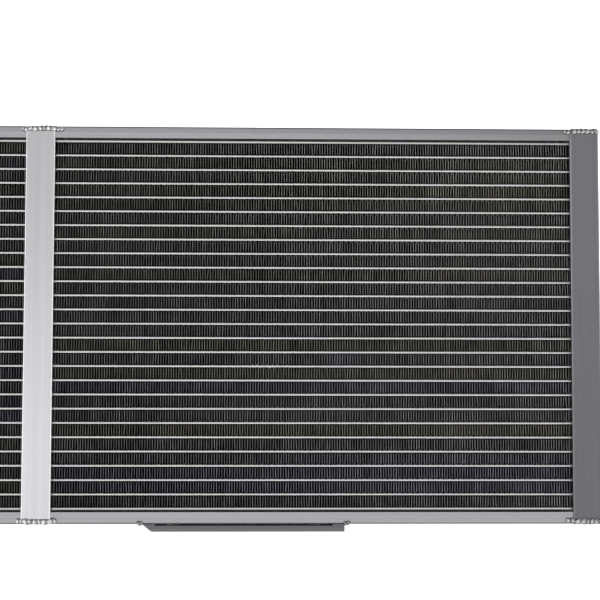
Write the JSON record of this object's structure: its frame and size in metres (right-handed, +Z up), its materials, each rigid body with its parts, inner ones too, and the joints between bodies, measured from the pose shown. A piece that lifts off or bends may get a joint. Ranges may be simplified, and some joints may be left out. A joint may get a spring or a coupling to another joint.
{
  "type": "hydraulic oil cooler",
  "caption": "Brazed aluminium tube-and-fin oil cooler with two cores side by side, narrow welded box tanks, folded side rails, rear ports and a shallow mounting foot.",
  "frame": {"origin": "centre of the mounting foot's underside, at the middle of the cooler's width and of the core's depth", "axes": "+X to the right along the cooler, +Y from front to back, +Z up; the ports are on the +Y side"},
  "size_m": [0.612, 0.083, 0.3435],
  "materials": {
    "tube_aluminium": "satin",
    "fin_aluminium": "satin",
    "tank_aluminium": "satin",
    "machined_aluminium": "machined",
    "rail_aluminium": "satin",
    "foot_aluminium": "satin",
    "weld_aluminium": "as welded",
    "nut_steel": "zinc plated"
  },
  "bodies": {
    "root": {"foot_clinch_nuts": "nut_steel", "foot_welds": "weld_aluminium", "left_port_blocks": "machined_aluminium", "left_port_welds": "weld_aluminium", "left_tank": "tank_aluminium", "left_tank_end_caps": "tank_aluminium", "left_tank_end_welds": "weld_aluminium", "left_tank_pass_baffle": "tank_aluminium", "main_bottom_rail": "rail_aluminium", "main_core_air_fins": "fin_aluminium", "main_core_end_plates": "tube_aluminium", "main_core_left_header": "tank_aluminium", "main_core_right_header": "tank_aluminium", "main_core_tubes": "tube_aluminium", "main_core_turbulators": "fin_aluminium", "main_top_rail": "rail_aluminium", "middle_tank": "tank_aluminium", "middle_tank_end_caps": "tank_aluminium", "middle_tank_end_welds": "weld_aluminium", "mounting_foot": "foot_aluminium", "right_port_blocks": "machined_aluminium", "right_port_welds": "weld_aluminium", "right_tank": "tank_aluminium", "right_tank_end_caps": "tank_aluminium", "right_tank_end_welds": "weld_aluminium", "right_tank_pass_baffle": "tank_aluminium", "small_bottom_rail": "rail_aluminium", "small_core_air_fins": "fin_aluminium", "small_core_end_plates": "tube_aluminium", "small_core_left_header": "tank_aluminium", "small_core_right_header": "tank_aluminium", "small_core_tubes": "tube_aluminium", "small_core_turbulators": "fin_aluminium", "small_top_rail": "rail_aluminium"}
  },
  "joints": []
}
